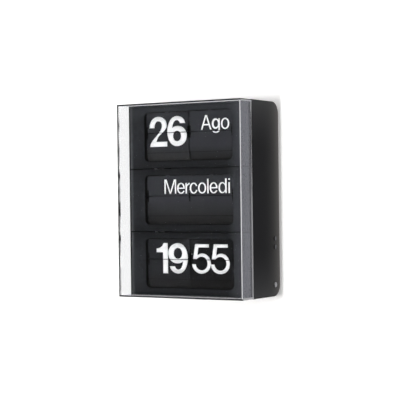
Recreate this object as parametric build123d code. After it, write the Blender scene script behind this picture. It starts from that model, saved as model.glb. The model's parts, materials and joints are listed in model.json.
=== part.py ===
"""Wall or desk clock with calendar: three split-flap modules in one case, behind a clear cover.

Units are millimetres. +X is to the right, +Y to the back, +Z up. The origin is the middle of the base.
The top module shows the date and the month, the middle one the weekday, the bottom one hours and minutes.
Each display is a drum of hinged flaps on a fixed axle. The leading flap of each display is a piece of its own.
"""
from build123d import *
import os
from math import acos, cos, degrees, pi, radians, sin, sqrt, tan

# ---- case and cover ----
case_width = 260.0
case_height = 350.0
case_depth = 98.5           # front rim to back face
case_wall = 2.5
case_bend = 22.0            # bend of the top and bottom into the back
case_edge = 1.5             # rounding of the side edges
cover_depth = 38.5          # how far the clear cover stands in front of the rim
cover_wall = 2.4
cover_inset = 0.5           # the cover is this much smaller than the case on each side
cover_clearance = 0.3       # between the cover and the sides of the masks
cover_end_clearance = 0.7   # between the cover and the top and bottom of the masks
cover_edge = 0.6
over = 1.0                  # how far a cutting shape runs past the face it opens

# ---- modules ----
module_gap = 1.6            # dark line between two masks
mask_proud = 3.5            # mask face in front of the case rim
mask_wall = 3.0
mask_return = 12.5          # depth of the mask's side walls
mask_side_round = 4.5
window_width = 184.0
window_height = 88.0
window_bottom = 14.0        # above the bottom of the module
window_round = 8.0
window_bevel = 1.0
split_height = 65.5         # hinge line above the bottom of the module
stud_inset = 22.0           # staking studs inside the top and bottom of the module
stud_width = 3.2
stud_length = 2.5

# ---- flaps and drums ----
flap_height = 36.0
flap_window_gap = 1.0       # end of the flaps inside the side of the window
flap_thickness = 0.3
flap_gap = 0.1              # between two flaps that lie on each other
flap_middle_gap = 2.0       # between the two displays of one module
flap_side_gap = 0.3         # between a flap and the disc in its notch
leading_gap = 0.3           # between the leading flap and those it falls from and onto
flap_notch_height = 10.8
hinge_behind_mask = 2.1     # hinge line behind the rear of the mask face
hinge_pin_radius = 0.35
hinge_bead = 1.5            # length of the round bead at each end of the hinge edge
hinge_slot = 1.1            # open line between upper and lower flap
pin_circle = 26.0
disc_rim = 1.3              # rim of a drum disc outside the pin circle
disc_thickness = 2.0
pin_notch = 1.2             # width of a pin notch at the rim of a disc
disc_inset = 0.5            # disc inside the end of the flaps
flap_lean = 10.0            # degrees that the rear flaps stand off the drum
flap_fan = 0.5              # degrees that each standing flap leans more than the one before
minute_flaps = 60
hour_flaps = 24
date_flaps = 31
month_flaps = 24
weekday_flaps = 28

# ---- axles, hubs, wheels ----
axle_radius = 2.5
axle_stub_radius = 2.0
running_clearance = 0.06
seat_clearance = 0.03
hub_radius = 6.0
stub_radius = 4.5           # hub end that carries gear, ratchet and cam
wheel_offset = 0.4          # first wheel outside the ends of the flaps
wheel_thickness = 1.6
wheel_space = 0.6
hub_gap = 0.5               # between the end of a hub and its cheek
ratchet_radius = 20.0
ratchet_tooth = 1.3
ratchet_rake = 1.0          # degrees that the steep side of a tooth leans
cam_radius = 19.0
cam_drop = 4.0
cam_steps = 20
gear_module = 0.8
gear_pressure_angle = 20.0
gear_addendum = 0.8         # in modules
gear_dedendum = 1.2         # in modules
minute_gear_teeth = 60
pinion_teeth = 20
gear_backlash = 0.12
pinion_angle = -60.0        # direction of the motor pinion from the drum axis, degrees above the rear

# ---- frame plates ----
cheek_wheel_gap = 0.8       # inner face of a cheek beyond the outer wheel
cheek_thickness = 1.5
cheek_margin = 4.0          # cheek below and above the ends of its module
cheek_rear_margin = 8.0     # rear edge behind the lever shaft
cheek_front_flange = 13.0
cheek_corner = 4.0
cheek_window_y = -2.0       # weight-saving window, from the drum axis
cheek_window_height = 20.0
cheek_window_size = (34.0, 16.0)
plate_thickness = 1.5
plate_margin = 30.0         # wall plate inside the top and bottom of the case
plate_overlap = 11.5        # flange of the wall plate over the rear of a cheek
plate_flange_drop = 18.0    # flanges reach this far below the plate
plate_opening = (18.0, 30.0, 3.0)
plate_inlet_clearance = 0.5
frame_screw_height = 62.0    # above the bottom of the module
screw_radius = 1.5
screw_head = 5.5            # across flats
screw_head_height = 2.0
nut_flats = 7.0
nut_height = 2.0
axle_tail = 0.5             # end of the axle beyond its nut

# ---- levers ----
rocker_angle = 30.0         # direction of the lever shaft from the drum axis
rocker_gap = 2.0            # between the lever shaft and the flaps that pass it
rocker_shaft_radius = 3.0
rocker_pivot_radius = 1.5
rocker_boss_radius = 4.5
nose_radius = 1.5
lift_gap = 0.3              # nose clear of tooth and cam at the top of its stroke
rocker_nose_angle = 95.0
rocker_end_gap = 0.3        # between the shaft and a cheek
rocker_pivot_inset = 0.2    # pivot end inside the outer face of the cheek
link_stud_angle = 36.0
link_width = 8.0
link_thickness = 1.5
link_gap = 2.2              # between a cheek and the day link
link_travel = 4.0
link_low = 8.0              # lower end above the hinge line of the time module
link_high = 26.0            # upper end above the hinge line of the date module
link_stud_gap = 0.2         # between a stud and the space of its wheel
link_slot_clearance = 0.5   # stud in the slot of a cheek
guide_radius = 2.0
guide_head_radius = 4.0
guide_clearance = 0.2
guide_height = 30.0         # above the bottom of the module
guide_head = 1.5
guide_slot_end = 0.3        # left over at each end of the travel
slot_flat = 0.1             # half the flat that is left at the end of a slot

# ---- flap catch ----
catch_gap = 1.0             # leaf above the top of the window
catch_leaf = 0.4
catch_strip = 6.0
catch_end_gap = 0.5
catch_finger_x = 46.0
catch_finger_width = 8.0
catch_lead = 0.5            # finger tip in front of the leading flap
catch_tip = 0.2

# ---- motor ----
motor_radius = 25.0
motor_base = 5.0
motor_can_radius = 21.0
motor_can = 17.0
motor_shaft_radius = 1.5
motor_ear = 33.0            # ear centres from the motor's axis
motor_ear_radius = 5.0
motor_ear_root = 15.0
motor_ear_angles = (60.0, 240.0)
motor_shaft_depth = 4.0     # shaft end inside the gear case
motor_bore_depth = 4.2
motor_shaft_hole = 2.0      # room round the shaft in the cheek
motor_offset_y = 0.5
motor_offset_z = -1.0

# ---- outside fittings ----
button_y = 80.0             # behind the rim
button_heights = {"upper_set_button": 104.0, "lower_set_button": 89.0}
button_radius = 4.0
button_proud = 1.6
button_bevel = 0.5
button_body = 9.6
button_flange_radius = 6.0
button_flange = 2.0
button_stem_radius = 2.0
button_stem = 10.0
button_clearance = 0.2
button_travel = 2.5
switch_width = 12.0
switch_margin = 7.0         # housing above and below the buttons
switch_round = 1.5
switch_gap = 0.3            # left over when a button is pressed
side_screw_y = 79.0         # behind the rim
side_screw_height = 21.0
side_screw_head_radius = 4.5
side_screw_head = 1.8
side_screw_radius = 2.0
side_screw_length = 14.0
side_screw_slot = 1.0
side_screw_slot_angle = 60.0
side_screw_bevel = 0.7
standoff_radius = 5.0
standoff_bore_extra = 0.5
keyhole_spacing = 160.0
keyhole_height = 290.0
keyhole_radius = 5.0
keyhole_neck = 2.6
keyhole_rise = 11.0
back_screw_spacing = 150.0
back_screw_heights = (60.0, 262.0)
back_screw_head_radius = 4.0
back_screw_tail = 1.0       # beyond the wall plate
inlet_x = -60.0
inlet_height = 52.0
inlet_hole_radius = 6.0
inlet_bore_radius = 3.5
inlet_flange_radius = 8.5
inlet_flange = 1.5
terminal_size = (34.0, 12.0, 14.0)
terminal_height = 70.0
terminal_hole = 3.0
terminal_hole_pitch = 10.0
terminal_hole_inset = 4.0
terminal_hole_depth = 9.0

# ---- places worked out from the sizes above ----
rim_y = -(cover_depth + case_depth) / 2 + cover_depth
front_y = rim_y - cover_depth
back_y = rim_y + case_depth
inner_half_width = case_width / 2 - case_wall
cover_thickness = cover_inset + cover_wall
masks_height = case_height - 2 * (cover_thickness + cover_end_clearance)
module_pitch = (masks_height + module_gap) / 3
mask_width = case_width - 2 * (cover_thickness + cover_clearance)
flap_half_width = window_width / 2 - flap_window_gap
mask_front_y = rim_y - mask_proud
mask_rear_y = mask_front_y + mask_wall
hinge_y = mask_rear_y + hinge_behind_mask
disc_radius = pin_circle + disc_rim
flap_notch = disc_inset + disc_thickness + flap_side_gap
drum_y = hinge_y + pin_circle
modules_bottom = (case_height - 3 * module_pitch) / 2
module_floor = {
    "time": modules_bottom,
    "weekday": modules_bottom + module_pitch,
    "date": modules_bottom + 2 * module_pitch,
}
wheel_1 = flap_half_width + wheel_offset
wheel_2 = wheel_1 + wheel_thickness + wheel_space
cheek_x = wheel_2 + wheel_thickness + cheek_wheel_gap
cheek_outer = cheek_x + cheek_thickness
link_x = cheek_outer + link_gap
hub_end = cheek_x - hub_gap
gear_radius = gear_module * minute_gear_teeth / 2
pinion_radius = gear_module * pinion_teeth / 2
gear_distance = gear_radius + pinion_radius + gear_backlash / 2
pinion_y = drum_y + gear_distance * cos(radians(pinion_angle))
pinion_z = module_floor["time"] + split_height + gear_distance * sin(radians(pinion_angle))
motor_y = pinion_y + motor_offset_y
motor_z = pinion_z + motor_offset_z
flap_sweep = sqrt(pin_circle ** 2 + flap_height ** 2
                  + 2 * pin_circle * flap_height * sin(radians(flap_lean)))
rocker_distance = flap_sweep + rocker_gap + rocker_shaft_radius
rocker_axis_y = drum_y + rocker_distance * cos(radians(rocker_angle))
rocker_height = split_height + rocker_distance * sin(radians(rocker_angle))
cheek_rear_y = rocker_axis_y + cheek_rear_margin
plate_front_y = back_y - case_wall - plate_thickness
flange_front_y = cheek_rear_y - plate_overlap
plate_half_width = cheek_outer + plate_thickness
link_y = drum_y + (ratchet_radius + lift_gap + nose_radius) * cos(radians(link_stud_angle))


# ---- small helpers ----
def on_yz(x, sketch):
    """A sketch drawn in (Y, Z), placed at X = x."""
    return Plane.YZ.offset(x) * sketch


def slab(x0, x1, sketch):
    """A (Y, Z) sketch made solid from X = x0 to X = x1."""
    low, high = min(x0, x1), max(x0, x1)
    return extrude(on_yz(low, sketch), amount=high - low)


def rod(x0, x1, y, z, radius):
    return slab(x0, x1, Pos(y, z) * Circle(radius))


def block(x0, x1, y0, y1, z0, z1):
    size = (x1 - x0, y1 - y0, z1 - z0)
    return Pos((x0 + x1) / 2, (y0 + y1) / 2, (z0 + z1) / 2) * Box(*size)


def along_y(y0, y1, x, z, sketch):
    """An (X, Z) sketch made solid from Y = y0 to Y = y1. Its own Y runs up."""
    plane = Plane(origin=(x, y1, z), x_dir=(1, 0, 0), z_dir=(0, -1, 0))
    return extrude(plane * sketch, amount=y1 - y0)


def closed(points):
    return make_face(Polyline(*points, close=True))


def slot(width, height):
    """Upright slot with round ends."""
    return RectangleRounded(width, height, width / 2 - slot_flat)


def polar(radius, angle):
    """A point of the (Y, Z) plane. 0 degrees is the rear, 90 the top."""
    return radius * cos(radians(angle)), radius * sin(radians(angle))


def hinge_z(module):
    return module_floor[module] + split_height


def save(name, *solids):
    shape = solids[0] if len(solids) == 1 else Compound(children=list(solids))
    export_step(shape, f"parts/{name}.step")


# ---- case ----
def case_outline(inset):
    """Side view: square at the front rim, bent with a large radius into the back."""
    depth = case_depth - inset
    height = case_height - 2 * inset
    outline = Pos(rim_y + depth / 2, case_height / 2) * Rectangle(depth, height)
    rear_corners = outline.vertices().group_by(Axis.X)[-1]
    return fillet(rear_corners, case_bend - inset)


def keyhole():
    neck = Pos(0, keyhole_rise / 2) * Rectangle(2 * keyhole_neck, keyhole_rise)
    return Circle(keyhole_radius) + neck + Pos(0, keyhole_rise) * Circle(keyhole_neck)


def back_screw_points():
    return [(side * back_screw_spacing / 2, z) for side in (-1, 1) for z in back_screw_heights]


def countersink(extra):
    """Countersunk hole or head along +Y, its wide end on the back face."""
    head = back_screw_head_radius + extra
    shank = screw_radius + extra
    cone = Solid.make_cone(head, shank, case_wall, Plane(origin=(0, back_y, 0), z_dir=(0, -1, 0)))
    return cone


def case_shell():
    half = case_width / 2
    shell = slab(-half, half, case_outline(0))
    side_edges = [e for e in shell.edges() if abs(abs(e.center().X) - half) < 0.01]
    side_edges = [e for e in side_edges if e.center().Y > rim_y + 0.01]
    shell = fillet(side_edges, case_edge)
    hollow = slab(-inner_half_width, inner_half_width, case_outline(case_wall))
    opening = block(-inner_half_width, inner_half_width, rim_y - over, rim_y + over,
                    case_wall, case_height - case_wall)
    shell -= hollow + opening
    through = (back_y - case_wall - over, back_y + over)
    for side in (-1, 1):
        shell -= along_y(*through, side * keyhole_spacing / 2, keyhole_height, keyhole())
        shell -= rod(side * (half - case_wall - over), side * (half + over), rim_y + side_screw_y,
                     side_screw_height, side_screw_radius + seat_clearance)
    shell -= along_y(*through, inlet_x, inlet_height, Circle(inlet_hole_radius))
    for x, z in back_screw_points():
        shell -= Pos(x, 0, z) * countersink(seat_clearance)
    for height in button_heights.values():
        shell -= rod(inner_half_width - over, half + over, rim_y + button_y, height,
                     button_radius + button_clearance)
    return shell


def clear_cover():
    """Five-sided clear box whose rear edge meets the case rim and slips over the masks."""
    half = case_width / 2 - cover_inset
    low, high = cover_inset, case_height - cover_inset
    shell = block(-half, half, front_y, rim_y, low, high)
    shell = fillet([e for e in shell.edges() if e.center().Y < rim_y - 0.01], cover_edge)
    return shell - block(-half + cover_wall, half - cover_wall, front_y + cover_wall, rim_y + over,
                         low + cover_wall, high - cover_wall)


# ---- module masks and frames ----
def mask(module):
    floor = module_floor[module]
    bottom = floor + module_gap / 2
    top = floor + module_pitch - module_gap / 2
    half = mask_width / 2
    rear_y = mask_front_y + mask_return
    body = block(-half, half, mask_front_y, rear_y, bottom, top)
    front_sides = [e for e in body.edges().filter_by(Axis.Z) if e.center().Y < mask_front_y + 0.01]
    body = fillet(front_sides, mask_side_round)
    hollow = block(-half + mask_wall, half - mask_wall, mask_rear_y, rear_y + over,
                   bottom + mask_wall, top - mask_wall)
    hollow_sides = [e for e in hollow.edges().filter_by(Axis.Z) if e.center().Y < mask_rear_y + 0.01]
    body -= fillet(hollow_sides, mask_side_round - mask_wall)
    window_z = floor + window_bottom + window_height / 2
    opening = RectangleRounded(window_width, window_height, window_round)
    body -= along_y(mask_front_y - over, mask_rear_y + over, 0, window_z, opening)
    rims = [e for e in body.edges() if abs(e.center().Y - mask_front_y) < 0.01
            and abs(e.center().X) < window_width / 2 + 0.01
            and abs(e.center().Z - window_z) < window_height / 2 + 0.01]
    body = chamfer(rims, window_bevel)
    for x, z in stud_points(module):
        body += along_y(mask_rear_y, mask_rear_y + stud_length, x, z, Rectangle(stud_width, stud_width))
    return body


def stud_points(module):
    x = cheek_outer + cheek_front_flange / 2
    low = module_floor[module] + stud_inset
    high = module_floor[module] + module_pitch - stud_inset
    return [(side * x, z) for side in (-1, 1) for z in (low, high)]


def frame_screw_point(module):
    """Screw that holds a cheek to the flange of the wall plate, in (Y, Z)."""
    y = cheek_rear_y - plate_overlap / 2
    return y, module_floor[module] + frame_screw_height


def cheek(module, side, cuts):
    """Stamped side plate with a flange at the front, heat-staked to the mask, and a cut-out at the rear."""
    low = module_floor[module] + cheek_margin
    high = module_floor[module] + module_pitch - cheek_margin
    plate = block(cheek_x, cheek_outer, mask_rear_y, cheek_rear_y, low, high)
    flange_end = cheek_outer + cheek_front_flange
    plate += block(cheek_outer, flange_end, mask_rear_y, mask_rear_y + cheek_thickness, low, high)
    rear_corners = [e for e in plate.edges().filter_by(Axis.X) if e.center().Y > cheek_rear_y - 0.01]
    plate = fillet(rear_corners, cheek_corner)
    if side < 0:
        plate = mirror(plate, Plane.YZ)
    inner, outer = side * (cheek_x - over), side * (cheek_outer + over)
    plate -= rod(inner, outer, drum_y, hinge_z(module), axle_stub_radius + seat_clearance)
    for x, z in stud_points(module):
        if x * side > 0:
            hole = stud_width + 2 * seat_clearance
            plate -= along_y(mask_rear_y - over, mask_rear_y + cheek_thickness + over, x, z,
                             Rectangle(hole, hole))
    plate -= rod(inner, outer, *frame_screw_point(module), screw_radius + seat_clearance)
    for y, z, shape in cuts:
        plate -= slab(inner, outer, Pos(y, z) * shape)
    return plate


def rocker_pivot_cut(module):
    return (rocker_axis_y, module_floor[module] + rocker_height,
            Circle(rocker_pivot_radius + running_clearance))


def link_slot_cut(module):
    """Slot for a stud of the day link, which rises by its travel."""
    reach = cam_radius if module == "time" else ratchet_radius
    width = 2 * (nose_radius + link_slot_clearance)
    z = hinge_z(module) + stud_rise(reach)
    height = width + link_travel + 2 * link_slot_clearance
    return link_y, z + link_travel / 2, slot(width, height)


def guide_cut(module):
    return link_y, guide_heights()[module], Circle(guide_radius + seat_clearance)


def stud_rise(reach):
    """Height of a link stud above the drum axis, just clear of a wheel of that radius."""
    distance = reach + lift_gap + nose_radius
    return sqrt(distance ** 2 - (link_y - drum_y) ** 2)


def guide_heights():
    return {module: module_floor[module] + guide_height for module in ("weekday", "date")}


def cheek_window(module):
    return drum_y + cheek_window_y, module_floor[module] + cheek_window_height, Rectangle(*cheek_window_size)


def time_right_cuts():
    shaft_hole = (pinion_y, pinion_z, Circle(motor_shaft_radius + motor_shaft_hole))
    ears = [(y, z, Circle(screw_radius + seat_clearance)) for y, z in motor_ear_points()]
    return [rocker_pivot_cut("time"), shaft_hole, *ears]


def frame_cheeks():
    left_cuts = {
        "time": [rocker_pivot_cut("time"), link_slot_cut("time"), cheek_window("time")],
        "weekday": [link_slot_cut("weekday"), guide_cut("weekday")],
        "date": [rocker_pivot_cut("date"), link_slot_cut("date"), guide_cut("date")],
    }
    right_cuts = {
        "time": time_right_cuts(),
        "weekday": [cheek_window("weekday")],
        "date": [rocker_pivot_cut("date"), cheek_window("date")],
    }
    for module in module_floor:
        save(f"{module}_left_cheek", cheek(module, -1, left_cuts[module]))
        save(f"{module}_right_cheek", cheek(module, 1, right_cuts[module]))


def axle(module):
    z = hinge_z(module)
    end = cheek_outer + nut_height + axle_tail
    return rod(-end, end, drum_y, z, axle_stub_radius) + rod(-cheek_x, cheek_x, drum_y, z, axle_radius)


def hexagon(flats):
    return RegularPolygon(flats / 2, 6, major_radius=False)


def axle_nuts():
    nuts = []
    for module in module_floor:
        for side in (-1, 1):
            ring = hexagon(nut_flats) - Circle(axle_stub_radius + seat_clearance)
            ring = Pos(drum_y, hinge_z(module)) * ring
            nuts.append(slab(side * cheek_outer, side * (cheek_outer + nut_height), ring))
    return nuts


def wall_plate():
    """Bent steel plate inside the back of the case. Its two flanges carry the module cheeks."""
    low, high = plate_margin, case_height - plate_margin
    rear_y = back_y - case_wall
    plate = block(-plate_half_width, plate_half_width, plate_front_y, rear_y, low, high)
    for side in (-1, 1):
        inner = cheek_outer if side > 0 else -plate_half_width
        flange = block(inner, inner + plate_thickness, flange_front_y, plate_front_y,
                       low - plate_flange_drop, high)
        plate += flange & slab(inner, inner + plate_thickness, case_outline(case_wall + lift_gap))
        opening = Pos(0, keyhole_rise / 2) * RectangleRounded(*plate_opening)
        plate -= along_y(plate_front_y - over, rear_y + over, side * keyhole_spacing / 2, keyhole_height,
                         opening)
        for module in module_floor:
            plate -= rod(side * (cheek_x - over), side * (plate_half_width + over),
                         *frame_screw_point(module), screw_radius + seat_clearance)
    plate -= along_y(plate_front_y - over, rear_y + over, inlet_x, inlet_height,
                     Circle(inlet_flange_radius + plate_inlet_clearance))
    for x, z in back_screw_points():
        plate -= along_y(plate_front_y - over, rear_y + over, x, z,
                         Circle(screw_radius + seat_clearance))
    return plate


def frame_screws():
    screws = []
    for module in module_floor:
        y, z = frame_screw_point(module)
        for side in (-1, 1):
            head = Pos(y, z) * hexagon(screw_head)
            screw = slab(side * plate_half_width, side * (plate_half_width + screw_head_height), head)
            screws.append(screw + rod(side * cheek_x, side * plate_half_width, y, z, screw_radius))
    return screws


# ---- drums, wheels and flaps ----
def disc_face(count):
    """Disc with one notch in its rim for the pins of each flap. The first notch faces the front."""
    half = degrees(pin_notch / 2 / disc_radius)
    points = []
    for n in range(count):
        angle = 180 + 360 / count * n
        points.append(polar(disc_radius, angle - half))
        points.append(polar(pin_circle - pin_notch / 2, angle))
        points.append(polar(disc_radius, angle + half))
    return closed(points)


def drum(module, disc_starts, hub, ends, count):
    """Hub with notched discs. ends are the far ends of the slimmer stubs."""
    z = hinge_z(module)
    disc = Pos(drum_y, z) * disc_face(count)
    body = rod(hub[0], hub[1], drum_y, z, hub_radius)
    for start in disc_starts:
        body += slab(start, start + disc_thickness, disc)
    for end in ends:
        body += rod(hub[0] if end < hub[0] else hub[1], end, drum_y, z, stub_radius)
    bore = axle_radius + running_clearance
    return body - rod(-cheek_x, cheek_x, drum_y, z, bore)


def half_drum(module, side, count):
    """Drum of one display of a two-display module."""
    inner = flap_middle_gap / 2 + disc_inset
    outer = flap_half_width - disc_inset
    starts = [inner, outer - disc_thickness]
    if side < 0:
        starts = [-s - disc_thickness for s in starts]
    hub = sorted((side * inner, side * outer))
    return drum(module, starts, hub, [side * hub_end], count)


def weekday_drum():
    outer = flap_half_width - disc_inset
    starts = [-outer, -disc_thickness / 2, outer - disc_thickness]
    return drum("weekday", starts, (-outer, outer), [-hub_end, hub_end], weekday_flaps)


def wheel_bore():
    return Circle(stub_radius + seat_clearance)


def ratchet(module, side, teeth):
    """Sawtooth wheel with one tooth for each flap."""
    points = []
    for n in range(teeth):
        angle = 360 / teeth * n
        points.append(polar(ratchet_radius, angle))
        points.append(polar(ratchet_radius - ratchet_tooth, angle + ratchet_rake))
    face = closed(points) - wheel_bore()
    return slab(side * wheel_1, side * (wheel_1 + wheel_thickness), Pos(drum_y, hinge_z(module)) * face)


def snail_cam(module, side):
    """Spiral cam that lifts its follower through one turn and lets it drop."""
    points = [polar(cam_radius - cam_drop * (1 - n / cam_steps), 360 / cam_steps * n + rocker_nose_angle)
              for n in range(cam_steps + 1)]
    face = closed(points) - wheel_bore()
    return slab(side * wheel_2, side * (wheel_2 + wheel_thickness), Pos(drum_y, hinge_z(module)) * face)


def involute_angle(radius, base):
    """Angle in radians that an involute flank turns between its base circle and radius."""
    if radius <= base:
        return 0.0
    pressure = acos(base / radius)
    return tan(pressure) - pressure


def gear_face(teeth, phase):
    """Spur gear outline. phase is the angle of the middle of one tooth, in degrees."""
    pitch_radius = gear_module * teeth / 2
    base = pitch_radius * cos(radians(gear_pressure_angle))
    tip = pitch_radius + gear_addendum * gear_module
    root = pitch_radius - gear_dedendum * gear_module
    half_tooth = (pi * gear_module / 2 - gear_backlash) / (2 * pitch_radius)
    flank_radii = [root, tip]
    points = []
    for n in range(teeth):
        middle = radians(phase) + 2 * pi / teeth * n
        offsets = [half_tooth + involute_angle(pitch_radius, base) - involute_angle(r, base)
                   for r in flank_radii]
        for r, offset in zip(flank_radii, offsets):
            points.append((r * cos(middle - offset), r * sin(middle - offset)))
        for r, offset in reversed(list(zip(flank_radii, offsets))):
            points.append((r * cos(middle + offset), r * sin(middle + offset)))
    return closed(points)


def minute_gear():
    face = gear_face(minute_gear_teeth, pinion_angle) - wheel_bore()
    return slab(wheel_1, wheel_1 + wheel_thickness, Pos(drum_y, hinge_z("time")) * face)


def motor_pinion():
    """Pinion on the motor's output shaft, with a tooth gap facing the minute gear."""
    phase = pinion_angle + 180 + 180 / pinion_teeth
    face = Pos(pinion_y, pinion_z) * gear_face(pinion_teeth, phase)
    shaft = rod(wheel_1, cheek_outer + motor_shaft_depth, pinion_y, pinion_z, motor_shaft_radius)
    return slab(wheel_1, wheel_1 + wheel_thickness, face) + shaft


def flap_outline(x0, x1, hinge_edge, middle_notch=False):
    """Flat flap, hinge edge at the bottom, its two notches beside the hinge."""
    points = [(x0 + flap_notch, hinge_edge), (x1 - flap_notch, hinge_edge),
              (x1 - flap_notch, flap_notch_height), (x1, flap_notch_height),
              (x1, flap_height), (x0, flap_height),
              (x0, flap_notch_height), (x0 + flap_notch, flap_notch_height)]
    outline = closed(points)
    if middle_notch:
        half = disc_thickness / 2 + flap_side_gap
        outline -= Pos(0, flap_notch_height / 2) * Rectangle(2 * half, flap_notch_height)
    return outline


def flap_plane(y, z, angle):
    """Plane of a flap whose hinge edge is at (y, z). 0 degrees points to the front, 90 up."""
    reach = (0, -cos(radians(angle)), sin(radians(angle)))
    return Plane(origin=(0, y, z), x_dir=(1, 0, 0), z_dir=(0, -reach[2], reach[1]))


def flap_ends(side):
    if side == 0:
        return -flap_half_width, flap_half_width
    return tuple(sorted((side * flap_middle_gap / 2, side * flap_half_width)))


def flap_stack(module, side, count):
    """All flaps of a display but the leading one, as they stand and hang round the drum."""
    x0, x1 = flap_ends(side)
    outline = flap_outline(x0, x1, hinge_slot, side == 0)
    pitch = 360 / count
    step = flap_thickness + flap_gap
    leading_y = hinge_y + flap_thickness / 2
    flaps = []
    for n in range(1, count):
        angle = n * pitch
        y = drum_y - pin_circle * cos(radians(angle))
        z = hinge_z(module) + pin_circle * sin(radians(angle))
        if n in (1, count - 1):
            z = hinge_z(module)
        if angle < 180:
            front = leading_y + leading_gap + flap_thickness + (n - 1) * step
            y = front if n == 1 else max(y, front)
            reach = max(90 + (n - 1) * flap_fan, angle + 90 - flap_lean)
            reach = 90 if n == 1 else reach
        else:
            behind = count - 1 - n
            front = hinge_y + leading_gap + flap_thickness / 2 + behind * step
            y = front if behind == 0 else max(y, front)
            reach = min(270, angle + 90 - flap_lean)
        flaps.append(extrude(flap_plane(y, z, reach) * outline, amount=flap_thickness / 2, both=True))
    return flaps


def leading_flap(module, side):
    """The flap that falls next. It stands upright behind the catch and turns on its two pins."""
    x0, x1 = flap_ends(side)
    plane = flap_plane(hinge_y + flap_thickness / 2, hinge_z(module), 90)
    outline = flap_outline(x0, x1, 0, side == 0)
    flap = extrude(plane * outline, amount=flap_thickness / 2, both=True)
    for end, inward in ((x0, 1), (x1, -1)):
        edge = end + inward * flap_notch
        flap += rod(edge, edge + inward * hinge_bead, hinge_y, hinge_z(module), hinge_pin_radius)
    return flap


def flap_catch(module):
    """Leaf behind the top of the window, with fingers that hold the leading flaps upright."""
    low = module_floor[module] + window_bottom + window_height + catch_gap
    end = cheek_x - catch_end_gap
    rear_y = mask_rear_y + catch_leaf
    strip = block(-end, end, mask_rear_y, rear_y, low, low + catch_strip)
    tip_y = hinge_y - flap_thickness - catch_lead
    tip_z = hinge_z(module) + flap_height + lift_gap
    finger = closed([(mask_rear_y, low), (rear_y, low + catch_leaf),
                     (tip_y + catch_leaf, tip_z + catch_tip), (tip_y, tip_z)])
    half = catch_finger_width / 2
    for x in (-catch_finger_x, catch_finger_x):
        strip += slab(x - half, x + half, finger)
    return strip


# ---- levers and link ----
def lever_arm(pivot, nose, thickness_range):
    """Tapered arm from a round boss to a round nose, in (Y, Z)."""
    outline = make_hull([*(Pos(*pivot) * Circle(rocker_boss_radius)).edges(),
                         *(Pos(*nose) * Circle(nose_radius)).edges()])
    return slab(*thickness_range, outline)


def rocker(module, cam_side):
    """Shaft across the module with a cam follower on one side and a ratchet pawl on the other."""
    z = module_floor[module] + rocker_height
    pivot = (rocker_axis_y, z)
    end = cheek_x - rocker_end_gap
    body = rod(-end, end, *pivot, rocker_shaft_radius)
    pivot_end = cheek_outer - rocker_pivot_inset
    body += rod(-pivot_end, pivot_end, *pivot, rocker_pivot_radius)
    for wheel, reach, side in ((wheel_2, cam_radius, cam_side), (wheel_1, ratchet_radius, -cam_side)):
        dy, dz = polar(reach + lift_gap + nose_radius, rocker_nose_angle)
        nose = (drum_y + dy, hinge_z(module) + dz)
        body += lever_arm(pivot, nose, (side * wheel, side * (wheel + wheel_thickness)))
    return body


def day_link():
    """Upright strip that the hour cam lifts once a day. Its studs advance the weekday and the date."""
    low, high = hinge_z("time") + link_low, hinge_z("date") + link_high
    x0, x1 = -link_x - link_thickness, -link_x
    strip = block(x0, x1, link_y - link_width / 2, link_y + link_width / 2, low, high)
    for z in guide_heights().values():
        width = 2 * (guide_radius + guide_clearance)
        hole = slot(width, width + link_travel + 2 * guide_slot_end)
        strip -= slab(x0 - over, x1 + over, Pos(link_y, z - link_travel / 2) * hole)
    studs = (("time", cam_radius, wheel_2), ("weekday", ratchet_radius, wheel_1),
             ("date", ratchet_radius, wheel_1))
    for module, reach, wheel in studs:
        z = hinge_z(module) + stud_rise(reach)
        strip += rod(x1, -wheel - link_stud_gap, link_y, z, nose_radius)
    return strip


def link_guides():
    pins = []
    for z in guide_heights().values():
        neck = rod(-cheek_x, -link_x - link_thickness - guide_clearance, link_y, z, guide_radius)
        head_x = -link_x - link_thickness - guide_clearance
        pins.append(neck + rod(head_x, head_x - guide_head, link_y, z, guide_head_radius))
    return pins


# ---- motor ----
def motor_ear_points():
    return [(motor_y + dy, motor_z + dz) for dy, dz in
            (polar(motor_ear, angle) for angle in motor_ear_angles)]


def motor_body():
    """Synchronous motor: flat gear case with two ears, and the coil can on top."""
    base = Pos(motor_y, motor_z) * Circle(motor_radius)
    for y, z in motor_ear_points():
        ear = make_hull([*(Pos(y, z) * Circle(motor_ear_radius)).edges(),
                         *(Pos(motor_y, motor_z) * Circle(motor_ear_root)).edges()])
        ear -= Pos(y, z) * Circle(screw_radius + seat_clearance)
        base += ear
    body = slab(cheek_outer, cheek_outer + motor_base, base)
    can = Pos(motor_y, motor_z) * Circle(motor_can_radius)
    body += slab(cheek_outer + motor_base, cheek_outer + motor_base + motor_can, can)
    bore = motor_shaft_radius + running_clearance
    return body - rod(cheek_outer - over, cheek_outer + motor_bore_depth, pinion_y, pinion_z, bore)


def motor_screws():
    screws = []
    for y, z in motor_ear_points():
        head_x = cheek_outer + motor_base
        head = slab(head_x, head_x + screw_head_height, Pos(y, z) * hexagon(screw_head))
        screws.append(head + rod(cheek_x, head_x, y, z, screw_radius))
    return screws


# ---- outside fittings ----
def set_button(height):
    """Round push button: head through the case side, retaining flange inside, stem to its switch."""
    y = rim_y + button_y
    outer = case_width / 2 + button_proud
    body = rod(outer - button_body, outer, y, height, button_radius)
    body = chamfer(body.edges().group_by(Axis.X)[-1], button_bevel)
    flange_end = inner_half_width - button_clearance
    body += rod(flange_end - button_flange, flange_end, y, height, button_flange_radius)
    return body + rod(outer - button_body - button_stem, outer - button_body, y, height,
                      button_stem_radius)


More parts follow.
